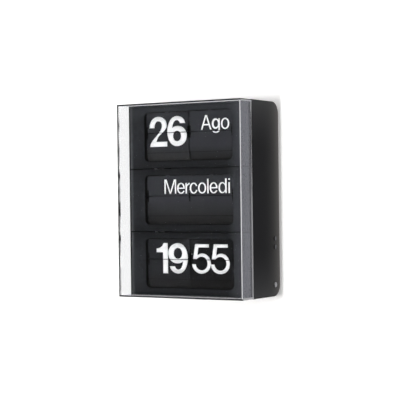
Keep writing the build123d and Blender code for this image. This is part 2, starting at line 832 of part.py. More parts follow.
def switch_block():
    """Housing of the two set switches, on the right cheek of the time module."""
    stem_end = case_width / 2 + button_proud - button_body - button_stem
    top = stem_end - button_travel - switch_gap
    y = rim_y + button_y
    heights = sorted(button_heights.values())
    base_x = plate_half_width
    body = block(base_x, top, y - switch_width / 2, y + switch_width / 2,
                 heights[0] - switch_margin, heights[1] + switch_margin)
    return fillet(body.edges().filter_by(Axis.X), switch_round)


def side_standoffs():
    posts = []
    for side in (-1, 1):
        y = rim_y + side_screw_y
        post = rod(side * plate_half_width, side * inner_half_width, y, side_screw_height, standoff_radius)
        depth = side_screw_length - case_wall + standoff_bore_extra
        posts.append(post - rod(side * (inner_half_width - depth), side * (inner_half_width + over), y,
                                side_screw_height, side_screw_radius + seat_clearance))
    return posts


def side_screws():
    """Slotted pan-head screws that hold the case to the standoffs, one low on each side."""
    screws = []
    for side in (-1, 1):
        y = rim_y + side_screw_y
        face = case_width / 2
        head = rod(side * face, side * (face + side_screw_head), y, side_screw_height,
                   side_screw_head_radius)
        outer_rim = [e for e in head.edges() if abs(e.center().X) > face + side_screw_head - 0.01]
        head = chamfer(outer_rim, side_screw_bevel)
        groove = Pos(y, side_screw_height) * Rot(0, 0, side_screw_slot_angle)
        groove *= Rectangle(side_screw_slot, 3 * side_screw_head_radius)
        head -= slab(side * (face + side_screw_head / 2), side * (face + side_screw_head + over), groove)
        screws.append(head + rod(side * (face - side_screw_length), side * face, y, side_screw_height,
                                 side_screw_radius))
    return screws


def back_screws():
    screws = []
    for x, z in back_screw_points():
        shank = along_y(plate_front_y - back_screw_tail, back_y - case_wall, x, z, Circle(screw_radius))
        screws.append(Pos(x, 0, z) * countersink(0) + shank)
    return screws


def cable_grommet():
    """Soft bush in the mains inlet of the back, flanged on the inside."""
    inner_y = back_y - case_wall
    body = along_y(inner_y, back_y, inlet_x, inlet_height, Circle(inlet_hole_radius - seat_clearance))
    body += along_y(inner_y - inlet_flange, inner_y, inlet_x, inlet_height, Circle(inlet_flange_radius))
    return body - along_y(inner_y - inlet_flange - over, back_y + over, inlet_x, inlet_height,
                          Circle(inlet_bore_radius))


def terminal_block():
    """Screw terminals for the mains lead, on the wall plate above the inlet."""
    width, depth, height = terminal_size
    body = block(inlet_x - width / 2, inlet_x + width / 2, plate_front_y - depth, plate_front_y,
                 terminal_height, terminal_height + height)
    hole_y = plate_front_y - depth + terminal_hole_inset
    for n in (-1, 0, 1):
        x = inlet_x + terminal_hole_pitch * n
        body -= block(x - terminal_hole / 2, x + terminal_hole / 2, hole_y, hole_y + terminal_hole,
                      terminal_height - over, terminal_height + terminal_hole_depth)
    return body


def build_outside():
    save("case_shell", case_shell())
    save("clear_cover", clear_cover())
    for name, height in button_heights.items():
        save(name, set_button(height))
    save("side_standoffs", *side_standoffs())
    save("side_screws", *side_screws())
    save("back_screws", *back_screws())
    save("cable_grommet", cable_grommet())


def build_frame():
    for module in module_floor:
        save(f"{module}_mask", mask(module))
        save(f"{module}_axle", axle(module))
        save(f"{module}_flap_catch", flap_catch(module))
    frame_cheeks()
    save("axle_nuts", *axle_nuts())
    save("wall_plate", wall_plate())
    save("frame_screws", *frame_screws())
    save("terminal_block", terminal_block())


def build_displays():
    displays = {
        "minute": ("time", 1, minute_flaps),
        "hour": ("time", -1, hour_flaps),
        "weekday": ("weekday", 0, weekday_flaps),
        "date": ("date", -1, date_flaps),
        "month": ("date", 1, month_flaps),
    }
    for name, (module, side, count) in displays.items():
        save(f"{name}_drum", half_drum(module, side, count) if side else weekday_drum())
        save(f"{name}_flap_stack", *flap_stack(module, side, count))
        save(f"{name}_leading_flap", leading_flap(module, side))
    save("minute_gear", minute_gear())
    save("minute_cam", snail_cam("time", 1))
    save("hour_ratchet", ratchet("time", -1, hour_flaps))
    save("hour_cam", snail_cam("time", -1))
    save("weekday_ratchet", ratchet("weekday", -1, weekday_flaps))
    save("date_ratchet", ratchet("date", -1, date_flaps))
    save("date_cam", snail_cam("date", -1))
    save("month_ratchet", ratchet("date", 1, month_flaps))


def build_drive():
    save("motor_body", motor_body())
    save("motor_screws", *motor_screws())
    save("motor_pinion", motor_pinion())
    save("hour_rocker", rocker("time", 1))
    save("month_rocker", rocker("date", -1))
    save("day_link", day_link())
    save("link_guides", *link_guides())
    save("set_switch_block", switch_block())


os.makedirs("parts", exist_ok=True)
build_outside()
build_frame()
build_displays()
build_drive()
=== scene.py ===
import json
import math
import bmesh
import bpy
from mathutils import Matrix, Vector


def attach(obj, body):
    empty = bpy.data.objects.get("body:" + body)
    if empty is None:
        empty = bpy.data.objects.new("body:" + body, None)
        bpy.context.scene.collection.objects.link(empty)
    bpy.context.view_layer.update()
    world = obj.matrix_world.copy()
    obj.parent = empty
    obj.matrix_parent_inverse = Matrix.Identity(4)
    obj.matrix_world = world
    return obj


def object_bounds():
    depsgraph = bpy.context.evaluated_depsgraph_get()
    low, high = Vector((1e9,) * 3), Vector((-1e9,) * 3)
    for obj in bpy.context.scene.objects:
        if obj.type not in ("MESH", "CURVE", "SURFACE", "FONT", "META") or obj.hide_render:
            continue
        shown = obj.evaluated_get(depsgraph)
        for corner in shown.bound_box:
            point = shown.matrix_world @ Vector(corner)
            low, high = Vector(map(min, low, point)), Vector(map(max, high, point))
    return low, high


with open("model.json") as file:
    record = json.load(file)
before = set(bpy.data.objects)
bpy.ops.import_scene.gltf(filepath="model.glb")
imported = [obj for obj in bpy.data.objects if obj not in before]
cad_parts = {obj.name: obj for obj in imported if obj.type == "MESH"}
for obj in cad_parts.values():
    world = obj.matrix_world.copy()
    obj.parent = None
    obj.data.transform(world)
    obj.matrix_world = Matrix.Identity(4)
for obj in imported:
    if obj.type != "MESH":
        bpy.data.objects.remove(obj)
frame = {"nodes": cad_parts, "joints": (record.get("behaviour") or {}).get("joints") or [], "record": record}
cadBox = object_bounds()
mm = 0.001
nodes = frame["nodes"]
joints = {j["name"]: j for j in frame["joints"]}
clockFront, clockBack = cadBox[0][1], cadBox[1][1]
clockHeight = cadBox[1][2]
print("clock frame loaded:", len(nodes), "nodes")

shot = {
    "place": (1.25436, -2.05037, 0.18155),
    "turn": 31.379,    # degrees to the left of straight ahead
    "tilt": -0.166,
    "roll": 0.706,
    "lens": 119.24,
    "sensor": 36.0,
}


def setCamera(spec):
    turn, tilt, roll = (math.radians(spec[k]) for k in ("turn", "tilt", "roll"))
    right = Vector((math.cos(turn), math.sin(turn), 0))
    ahead = Vector((-math.sin(turn) * math.cos(tilt), math.cos(turn) * math.cos(tilt), math.sin(tilt)))
    up = right.cross(ahead)
    across = right * math.cos(roll) - up * math.sin(roll)
    upright = right * math.sin(roll) + up * math.cos(roll)
    data = bpy.data.cameras.new("camera")
    data.lens = spec["lens"]
    data.sensor_width = spec["sensor"]
    camera = bpy.data.objects.new("camera", data)
    facing = Matrix((across, upright, -ahead)).transposed().to_4x4()
    camera.matrix_world = Matrix.Translation(spec["place"]) @ facing
    bpy.context.scene.collection.objects.link(camera)
    bpy.context.scene.camera = camera
    bpy.context.scene.view_settings.view_transform = "Standard"


# short ways to build a node tree
def newMaterial(name):
    material = bpy.data.materials.new(name)
    material.use_nodes = True
    return material, material.node_tree, material.node_tree.nodes["Principled BSDF"]


def feed(tree, socket, value):
    # another node's socket is linked, and any other value is set as it is
    if isinstance(value, bpy.types.NodeSocket):
        tree.links.new(value, socket)
    else:
        socket.default_value = value


def setInputs(tree, made, values):
    for key, value in values.items():
        feed(tree, made.inputs[key], value)


def add(tree, kind, settings=None, **inputs):
    # an underline in an input's name stands for a space
    made = tree.nodes.new(kind)
    for key, value in (settings or {}).items():
        setattr(made, key, value)
    setInputs(tree, made, {key.replace("_", " "): value for key, value in inputs.items()})
    return made


def reckon(tree, operation, first, second=0.0):
    made = add(tree, "ShaderNodeMath", {"operation": operation})
    feed(tree, made.inputs[0], first)
    feed(tree, made.inputs[1], second)
    return made.outputs[0]


def mapRange(tree, value, start, end, low=0.0, high=1.0, kind="LINEAR"):
    made = add(tree, "ShaderNodeMapRange", {"interpolation_type": kind}, Value=value,
               From_Min=start, From_Max=end, To_Min=low, To_Max=high)
    return made.outputs["Result"]


def blendColours(tree, factor, first, second):
    made = add(tree, "ShaderNodeMix", {"data_type": "RGBA"}, Factor=factor)
    feed(tree, made.inputs[6], first)    # the colour sockets share their names with the value sockets
    feed(tree, made.inputs[7], second)
    return made.outputs[2]


def blendValues(tree, factor, first, second):
    made = add(tree, "ShaderNodeMix", {"data_type": "FLOAT"}, Factor=factor, A=first, B=second)
    return made.outputs["Result"]


def mixShaders(tree, factor, first, second):
    made = add(tree, "ShaderNodeMixShader", Fac=factor)
    tree.links.new(first.outputs[0], made.inputs[1])
    tree.links.new(second.outputs[0], made.inputs[2])
    return made


def brighten(tree, colour, centred, amount):
    # a value that swings round zero makes the colour paler and darker
    value = reckon(tree, "ADD", 1.0, reckon(tree, "MULTIPLY", centred, amount))
    return add(tree, "ShaderNodeHueSaturation", Color=colour, Value=value).outputs[0]


def grey(level, warm=0.0):
    return (level * (1 + warm), level, level * (1 - warm), 1)


def newPiece(name, mesh, body, material):
    piece = bpy.data.objects.new(name, mesh)
    bpy.context.scene.collection.objects.link(piece)
    mesh.materials.append(material)
    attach(piece, body)
    return piece


# a white wall behind the clock and a pale floor well below it
room = {
    "wallGap": 0.0003,
    "wallSize": 6.0,
    "floorDrop": 0.6,
    "floorSize": 8.0,
    "wallColour": 0.94,
    "warmth": 0.008,
    "rough": 0.9,
    "wallGlow": 0.13,       # camera only, so that the lit wall reads as white
    "floorGlow": 0.55,
    "paneGlow": 1.08,       # what the two faces of the cover take away is given back
    "wallMirrored": (0.80, 0.80, 0.87, 1),
    "frontMirrored": 0.05,  # what gloss sees of the dark side of the studio
    "backMirrored": 1.0,
    "darkTo": -0.35,        # the dark side ends and the pale side starts at these shares of straight back
    "paleFrom": 0.25,
    "ambient": 0.45,
}
halfBounce = 0.5    # a ray with fewer glossy bounces than this has had none


def buildRoom(spec):
    back = clockBack + spec["wallGap"]
    for name, size, turn, spot in (
        ("wall", spec["wallSize"], math.radians(90), (0, back, 0)),
        ("floor", spec["floorSize"], 0, (0, 0, -spec["floorDrop"])),
    ):
        bm = bmesh.new()
        bmesh.ops.create_grid(bm, x_segments=1, y_segments=1, size=size / 2)
        bmesh.ops.rotate(bm, verts=bm.verts, matrix=Matrix.Rotation(turn, 3, "X"))
        bmesh.ops.translate(bm, verts=bm.verts, vec=Vector(spot))
        mesh = bpy.data.meshes.new(name)
        bm.to_mesh(mesh)
        bm.free()
        plane = bpy.data.objects.new(name, mesh)
        bpy.context.scene.collection.objects.link(plane)
        mesh.materials.append(roomPaint(name, spec))
        plane.visible_shadow = False
        plane.visible_diffuse = False


def roomPaint(name, spec):
    material, tree, surface = newMaterial(name + "_paint")
    setInputs(tree, surface, {"Base Color": grey(spec["wallColour"], spec["warmth"]),
                              "Roughness": spec["rough"], "Specular IOR Level": 0.0})
    path = add(tree, "ShaderNodeLightPath").outputs
    lit = add(tree, "ShaderNodeAddShader")
    tree.links.new(surface.outputs[0], lit.inputs[0])
    tree.links.new(add(tree, "ShaderNodeEmission", Strength=spec[name + "Glow"]).outputs[0], lit.inputs[1])
    # in gloss the wall looks pale, and the floor as dark as the studio in front
    inGloss = spec["wallMirrored"] if name == "wall" else grey(spec["frontMirrored"])
    notMirrored = reckon(tree, "LESS_THAN", path["Glossy Depth"], halfBounce)
    throughPane = reckon(tree, "MULTIPLY", path["Is Transmission Ray"], notMirrored)
    glow = add(tree, "ShaderNodeEmission", Strength=1.0,
               Color=blendColours(tree, throughPane, inGloss, grey(spec["paneGlow"])))
    bent = reckon(tree, "MAXIMUM", path["Is Glossy Ray"], path["Is Transmission Ray"])
    shown = mixShaders(tree, bent, lit, glow)
    # clear from behind, and for scattered rays that come through the cover
    scattered = reckon(tree, "MINIMUM", path["Diffuse Depth"], 1.0)
    hidden = reckon(tree, "MAXIMUM", scattered, add(tree, "ShaderNodeNewGeometry").outputs["Backfacing"])
    whole = mixShaders(tree, hidden, shown, add(tree, "ShaderNodeBsdfTransparent"))
    tree.links.new(whole.outputs[0], tree.nodes["Material Output"].inputs["Surface"])
    return material


def setWorld(spec):
    world = bpy.data.worlds.new("studio")
    bpy.context.scene.world = world
    world.use_nodes = True
    tree = world.node_tree
    path = add(tree, "ShaderNodeLightPath").outputs
    side = add(tree, "ShaderNodeSeparateXYZ", Vector=add(tree, "ShaderNodeTexCoord").outputs["Generated"])
    studio = mapRange(tree, side.outputs["Y"], spec["darkTo"], spec["paleFrom"],
                      spec["frontMirrored"], spec["backMirrored"], "SMOOTHSTEP")
    # straight rays see white, also through the cover; mirrored ones see the studio; the rest is even light,
    # which scattered rays don't fetch a second time through the cover
    scattered = reckon(tree, "MINIMUM", path["Diffuse Depth"], 1.0)
    mirrored = reckon(tree, "MINIMUM", path["Glossy Depth"], 1.0)
    bent = reckon(tree, "MAXIMUM", scattered, mirrored)
    seen = reckon(tree, "MAXIMUM", path["Is Camera Ray"], path["Is Transmission Ray"])
    straight = reckon(tree, "MULTIPLY", seen, reckon(tree, "SUBTRACT", 1.0, bent))
    mirrorOnly = reckon(tree, "MULTIPLY", mirrored, reckon(tree, "SUBTRACT", 1.0, scattered))
    twice = reckon(tree, "MULTIPLY", scattered, path["Is Transmission Ray"])
    evenLight = reckon(tree, "MULTIPLY", spec["ambient"], reckon(tree, "SUBTRACT", 1.0, twice))
    level = blendValues(tree, straight, blendValues(tree, mirrorOnly, evenLight, studio), 1.0)
    setInputs(tree, tree.nodes["Background"], {"Strength": level, "Color": grey(1.0)})


lamps = {
    "key": {"place": (0.0, -2.75, 0.05), "size": 0.12, "tall": 0.5, "power": 47, "unmirrored": True},
    "fill": {"place": (2.4, -1.8, 1.9), "size": 1.8, "power": 14},
    "top": {"place": (0.0, -0.6, 2.6), "size": 1.4, "power": 8},
    "side": {"place": (-2.2, -1.0, 0.5), "size": 1.2, "power": 26, "unmirrored": True},
    "rear": {"place": (0.4, 2.4, 1.6), "size": 1.6, "power": 26},
}


def dimMirrored(data):
    # the lamp lights everything as before, but doesn't show as a mirrored patch in the cover
    data.use_nodes = True
    path = add(data.node_tree, "ShaderNodeLightPath").outputs
    shining = reckon(data.node_tree, "LESS_THAN", path["Glossy Depth"], halfBounce)
    setInputs(data.node_tree, data.node_tree.nodes["Emission"], {"Strength": shining})


def hangLamps(spec):
    target = Vector((0, 0, clockHeight / 2))
    for name, values in spec.items():
        data = bpy.data.lights.new(name, "AREA")
        data.shape = "RECTANGLE"
        data.size = values["size"]
        data.size_y = values.get("tall", values["size"])
        data.energy = values["power"]
        if values.get("unmirrored"):
            dimMirrored(data)
        lamp = bpy.data.objects.new(name, data)
        lamp.location = values["place"]
        lamp.visible_transmission = False    # the cover lets its shadow rays pass instead
        lamp.rotation_euler = (target - lamp.location).to_track_quat("-Z", "Y").to_euler()
        bpy.context.scene.collection.objects.link(lamp)


setCamera(shot)
buildRoom(room)
setWorld(room)
hangLamps(lamps)
print("camera, wall, floor and lamps set")

# shared surface effects; each node group puts out values only
colourKind, numberKind, vectorKind = "NodeSocketColor", "NodeSocketFloat", "NodeSocketVector"
midGrey, paleGrey = (0.5, 0.5, 0.5, 1), (0.7, 0.7, 0.7, 1)


def newGroup(name, inputs, outputs):
    group = bpy.data.node_groups.new(name, "ShaderNodeTree")
    for key, (kind, value) in inputs.items():
        socket = group.interface.new_socket(key, in_out="INPUT", socket_type=kind)
        socket.default_value = value
    for key, kind in outputs.items():
        group.interface.new_socket(key, in_out="OUTPUT", socket_type=kind)
    return group, group.nodes.new("NodeGroupInput").outputs, group.nodes.new("NodeGroupOutput")


def objectPlace(tree):
    return add(tree, "ShaderNodeTexCoord").outputs["Object"]


def buildMottle():
    # broad, soft differences in colour and gloss, as handling and age leave them
    group, entry, out = newGroup(
        "mottle",
        {"Colour": (colourKind, midGrey), "Depth": (numberKind, 0.2), "Size": (numberKind, 30.0),
         "Roughness": (numberKind, 0.5), "Spread": (numberKind, 0.1)},
        {"Colour": colourKind, "Roughness": numberKind})
    cloud = add(group, "ShaderNodeTexNoise", Vector=objectPlace(group), Scale=entry["Size"], Detail=4.0,
                Roughness=0.6)
    centred = reckon(group, "SUBTRACT", cloud.outputs[0], 0.5)
    rougher = reckon(group, "MULTIPLY", centred, entry["Spread"])
    setInputs(group, out, {"Colour": brighten(group, entry["Colour"], centred, entry["Depth"]),
                           "Roughness": reckon(group, "ADD", entry["Roughness"], rougher)})
    return group


def buildEdgeWear():
    # edges that rubbing has made paler, found where a rounded normal leaves the flat one
    flatMatch, edgeMatch = 0.98, 0.80
    group, entry, out = newGroup(
        "edgeWear",
        {"Colour": (colourKind, midGrey), "Worn": (colourKind, paleGrey), "Amount": (numberKind, 0.5),
         "Size": (numberKind, 300.0)},
        {"Colour": colourKind})
    rounded = add(group, "ShaderNodeBevel", {"samples": 4}, Radius=0.5 * mm)
    match = add(group, "ShaderNodeVectorMath", {"operation": "DOT_PRODUCT"})
    feed(group, match.inputs[0], rounded.outputs[0])
    feed(group, match.inputs[1], add(group, "ShaderNodeNewGeometry").outputs["Normal"])
    patches = add(group, "ShaderNodeTexNoise", Vector=objectPlace(group), Scale=entry["Size"], Detail=3.0)
    edge = mapRange(group, match.outputs["Value"], flatMatch, edgeMatch)
    patchy = reckon(group, "MULTIPLY", edge, patches.outputs[0])
    mask = reckon(group, "MULTIPLY", patchy, entry["Amount"])
    setInputs(group, out, {"Colour": blendColours(group, mask, entry["Colour"], entry["Worn"])})
    return group


def buildGrain():
    # fine relief: height for a bump, and a faint change of tone with it
    cellShare, fineShare, middle = 0.7, 0.3, 0.45
    group, entry, out = newGroup(
        "grain",
        {"Colour": (colourKind, midGrey), "Size": (numberKind, 900.0), "Tone": (numberKind, 0.2),
         "Stretch": (vectorKind, (1, 1, 1))},
        {"Colour": colourKind, "Height": numberKind})
    scaled = add(group, "ShaderNodeVectorMath", {"operation": "MULTIPLY"})
    feed(group, scaled.inputs[0], objectPlace(group))
    feed(group, scaled.inputs[1], entry["Stretch"])
    cells = add(group, "ShaderNodeTexVoronoi", {"feature": "SMOOTH_F1"}, Vector=scaled.outputs[0],
                Scale=entry["Size"], Smoothness=0.6)
    fine = add(group, "ShaderNodeTexNoise", Vector=scaled.outputs[0], Scale=entry["Size"], Detail=3.0)
    height = reckon(group, "ADD", reckon(group, "MULTIPLY", cells.outputs["Distance"], cellShare),
                    reckon(group, "MULTIPLY", fine.outputs[0], fineShare))
    centred = reckon(group, "SUBTRACT", height, middle)
    setInputs(group, out, {"Colour": brighten(group, entry["Colour"], centred, entry["Tone"]),
                           "Height": height})
    return group


mottle, edgeWear, grain = buildMottle(), buildEdgeWear(), buildGrain()


def placeGroup(tree, group, **inputs):
    made = tree.nodes.new("ShaderNodeGroup")
    made.node_tree = group
    setInputs(tree, made, inputs)
    return made.outputs


def zoneMask(tree, zone):
    # rises along an axis from "from" (none) to "to" (full); with "every" the zone repeats from "start" on,
    # and "from" and "to" are the distance from each middle as a share of "every"
    value = add(tree, "ShaderNodeSeparateXYZ", Vector=objectPlace(tree)).outputs[zone["axis"]]
    if "every" in zone:
        share = reckon(tree, "DIVIDE", reckon(tree, "SUBTRACT", value, zone["start"]), zone["every"])
        value = reckon(tree, "ABSOLUTE", reckon(tree, "SUBTRACT", reckon(tree, "FRACT", share), 0.5))
    rise = reckon(tree, "POWER", mapRange(tree, value, zone["from"], zone["to"]), zone.get("power", 1.0))
    return reckon(tree, "MULTIPLY", rise, zone.get("amount", 1.0))


# what a finish has where it doesn't say otherwise; patch and grain are noise scales, depth is in mm
plainFinish = {"mottle": 0.25, "patch": 25.0, "spread": 0.12, "grain": 1500.0, "tone": 0.2,
               "stretch": (1, 1, 1), "wear": 0.6, "bump": 0.2, "depth": 0.05, "metal": 0.0, "shine": 0.5,
               "zones": []}


def surfaceOf(name, finish):
    look = {**plainFinish, **finish}
    material, tree, surface = newMaterial(name)
    cloud = placeGroup(tree, mottle, Colour=look["colour"], Depth=look["mottle"], Size=look["patch"],
                       Roughness=look["rough"], Spread=look["spread"])
    relief = placeGroup(tree, grain, Colour=cloud["Colour"], Size=look["grain"], Tone=look["tone"],
                        Stretch=look["stretch"])
    colour = relief["Colour"]
    if "worn" in look:
        colour = placeGroup(tree, edgeWear, Colour=colour, Worn=look["worn"], Amount=look["wear"])["Colour"]
    for zone in look["zones"]:
        colour = blendColours(tree, zoneMask(tree, zone), colour, zone["colour"])
    bump = add(tree, "ShaderNodeBump", Height=relief["Height"], Strength=look["bump"],
               Distance=look["depth"] * mm)
    setInputs(tree, surface, {"Base Color": colour, "Roughness": cloud["Roughness"],
                              "Normal": bump.outputs[0], "Metallic": look["metal"],
                              "Specular IOR Level": look["shine"]})
    return material


fall = "_flap_fall"
hingeHeight = {name.removesuffix(fall): joints[name]["pos_m"][2] for name in joints if name.endswith(fall)}
modulePitch = hingeHeight["weekday"] - hingeHeight["minute"]
lowestModule = 0.0028             # bottom of the time module
caseRim = clockFront + 0.038      # just in front of where the cover meets the case
# zones of the case: painted light makes it paler towards the wall and at both ends, and the back is dark
caseWallLight = {"axis": "Y", "from": caseRim, "to": clockBack, "power": 5.0, "colour": (0.155, 0.147, 0.138, 1)}
# painted light: the case is paler towards its top and its bottom
caseEndLight = {"axis": "Z", "start": 0.0, "every": clockHeight, "from": 0.22, "to": 0.5, "power": 2.0,
            "colour": grey(0.055)}
caseBack = {"axis": "Y", "from": clockBack - 0.0004, "to": clockBack - 0.0001, "amount": 0.85,
            "colour": grey(0.016)}
# zones of the masks: painted shade darkens each towards its ends and makes it black behind its face, a
# painted dark line runs down its left corner, and painted light makes the top of the upper mask and the
# sides of each paler
# painted shade: darker towards the top and the bottom of each module
maskEndShade = {"axis": "Z", "start": lowestModule, "every": modulePitch, "from": 0.15, "to": 0.48, "power": 1.5,
            "colour": (0.0060, 0.0066, 0.0078, 1)}
# painted light: the top of the upper mask is paler
maskTopLight = {"axis": "Z", "from": 0.316, "to": 0.330, "colour": (0.0190, 0.0205, 0.0232, 1)}
# painted light: the masks are paler towards their left side
maskLeftLight = {"axis": "X", "from": -0.1160, "to": -0.1232, "power": 1.3, "colour": (0.068, 0.071, 0.074, 1)}
# painted shade: a dark line along the rounded left corner
maskCornerShade = {"axis": "X", "from": -0.1228, "to": -0.1238, "colour": grey(0.0004)}
# painted light: the masks are paler towards their right side
maskRightLight = {"axis": "X", "from": 0.080, "to": 0.1262, "colour": (0.052, 0.054, 0.061, 1)}
# painted shade: black behind the face, on the window walls and in the gaps
maskInsideShade = {"axis": "Y", "from": -0.03345, "to": -0.0330, "colour": grey(0.0005)}

finishes = {
    "case_paint": {"colour": grey(0.006), "rough": 0.5, "grain": 1100.0, "bump": 0.10, "worn": grey(0.05),
                   "wear": 0.4, "shine": 0.05, "zones": [caseEndLight, caseWallLight, caseBack]},
    "mask_plastic": {"colour": (0.0122, 0.0133, 0.0154, 1), "rough": 0.6, "mottle": 1.5, "patch": 160.0,
                     "grain": 1000.0, "bump": 0.5, "depth": 0.08, "tone": 0.8, "shine": 0.05,
                     "zones": [maskEndShade, maskTopLight, maskLeftLight, maskCornerShade, maskRightLight, maskInsideShade]},
    # near black, darker than the plastic itself: painted shade in the notches and the gaps beside the flaps
    "drum_plastic": {"colour": grey(0.0015), "rough": 0.5, "shine": 0.02},
    "zinc_steel": {"colour": (0.56, 0.56, 0.53, 1), "rough": 0.34, "metal": 1.0, "mottle": 0.5,
                   "patch": 60.0, "grain": 500.0, "tone": 0.3, "bump": 0.08},
    # the cheeks and wall plate are black, partly as blackened metal and partly as painted shade inside the
    # closed case
    "black_zinc_and_shade": {"colour": grey(0.006), "rough": 0.5, "mottle": 0.6, "patch": 60.0, "shine": 0.1},
    "bright_steel": {"colour": grey(0.66), "rough": 0.2, "metal": 1.0, "stretch": (0.1, 1, 1), "bump": 0.12},
    "spring_steel": {"colour": (0.20, 0.22, 0.27, 1), "rough": 0.28, "metal": 1.0, "stretch": (0.05, 1, 1)},
    "gear_plastic": {"colour": (0.80, 0.77, 0.67, 1), "rough": 0.45, "worn": grey(0.85)},
    "gear_brass": {"colour": (0.72, 0.51, 0.22, 1), "rough": 0.25, "metal": 1.0,
                   "worn": (0.85, 0.68, 0.35, 1)},
    # the pale rubbed edges of the screw heads are partly wear and partly a painted glint
    "nickel_screw": {"colour": (0.36, 0.36, 0.35, 1), "rough": 0.36, "metal": 1.0, "worn": grey(0.8),
                     "wear": 1.6},
    "motor_steel": {"colour": (0.36, 0.37, 0.38, 1), "rough": 0.38, "metal": 1.0, "mottle": 0.4},
    "button_plastic": {"colour": grey(0.012), "rough": 0.25, "shine": 0.6},
    "rubber_bush": {"colour": grey(0.014), "rough": 0.8, "grain": 900.0, "bump": 0.3},
    "terminal_plastic": {"colour": (0.72, 0.69, 0.60, 1), "rough": 0.4},
}
# tone of each display's sheets, paler in the upper displays partly as painted light from above, and the
# painted shade that darkens each sheet from where below the hinge to where it falls to a share of that
flapTonesAndLight = {
    "date": {"tone": 0.0215, "shadeFallFrom": 0.026, "shadeFallTo": 0.050, "share": 1.00},
    "month": {"tone": 0.0265, "shadeFallFrom": 0.026, "shadeFallTo": 0.050, "share": 0.35},
    "weekday": {"tone": 0.0255, "shadeFallFrom": 0.006, "shadeFallTo": 0.044, "share": 0.45},
    "hour": {"tone": 0.0140, "shadeFallFrom": 0.020, "shadeFallTo": 0.050, "share": 0.60},
    "minute": {"tone": 0.0062, "shadeFallFrom": 0.020, "shadeFallTo": 0.050, "share": 0.85},
}
sheet = {
    "tint": (0.94, 0.98, 1.12), "rough": 0.5, "grain": 2600.0, "bump": 0.12, "tone": 0.35, "shine": 0.04,
    "edgeDrop": 0.0366,    # lower edge of the resting flap below the hinge, with a band of shade round it
    "shadeSpan": 0.1, "shadeFrom": 0.009, "shadeTo": 0.003, "shadeAmount": 0.7, "shadeTone": 0.06,
}


def sheetFinish(display, values):
    hinge, tone = hingeHeight[display], values["tone"]
    # painted shade: the sheets darken lower down in the window
    lowerShade = {"axis": "Z", "from": hinge - values["shadeFallFrom"], "to": hinge - values["shadeFallTo"],
                "colour": grey(tone * values["share"])}
    edgeShade = {"axis": "Z", "start": hinge - sheet["edgeDrop"] - sheet["shadeSpan"] / 2,
                 "every": sheet["shadeSpan"], "from": sheet["shadeFrom"], "to": sheet["shadeTo"],
                 "amount": sheet["shadeAmount"], "colour": grey(tone * sheet["shadeTone"])}
    return {"colour": (*(tone * share for share in sheet["tint"]), 1), "zones": [lowerShade, edgeShade],
            **{key: sheet[key] for key in ("rough", "grain", "bump", "tone", "shine")}}


# the clear cover: places in metres, amounts as the share of matt white or black over the clear pane
acrylic = {
    "tint": (0.995, 0.997, 1.0, 1),
    "index": 1.40,
    "haze": {"Size": 14.0, "Roughness": 0.008, "Spread": 0.01},
    "edge": {"Colour": (0.86, 0.86, 0.88, 1), "Size": 300.0, "Depth": 0.3},
    # colour of the painted dark reflection lines on the edges
    "dark": (0.012, 0.012, 0.013, 1),
    "shadow": (0.95, 0.955, 0.96, 1),
    "half": 0.1295, "low": 0.0005, "high": 0.3495, "front": -0.0683,    # outer faces
    "clear": 0.0002,           # depth of what counts as the side face
    "fillet": 0.0006,
    "sawnFrom": -0.0302,       # the sawn edge that meets the case
    "sawnSide": -0.1262,
    "sideLine": 0.0034, "innerLine": 0.0058, "endLine": 0.0028, "lineAmount": 1.0,    # widths from outside
    "outerPatches": {"size": 31.0, "least": 0.9}, "innerPatches": {"size": 22.0, "least": 0.1},
    "sideJoint": 0.0021, "endJoint": 0.0040, "jointAmount": 0.62,
    "topAmount": 0.48, "lowAmount": 0.22, "sideAmount": 0.7,
    "rearFrom": -0.0352, "rearTo": -0.0303, "rearAmount": 0.42,
    "rearEnds": ((0.25, 0.17), (0.315, 0.335)),
}


def patchesAlong(tree, height, size, least):
    # soft patches up the cover, from "least" to one
    palest, darkest = 0.40, 0.56    # noise values
    noise = add(tree, "ShaderNodeTexNoise", Scale=size, Detail=1.0,
                Vector=add(tree, "ShaderNodeCombineXYZ", Z=height).outputs[0])
    return mapRange(tree, noise.outputs[0], palest, darkest, least)


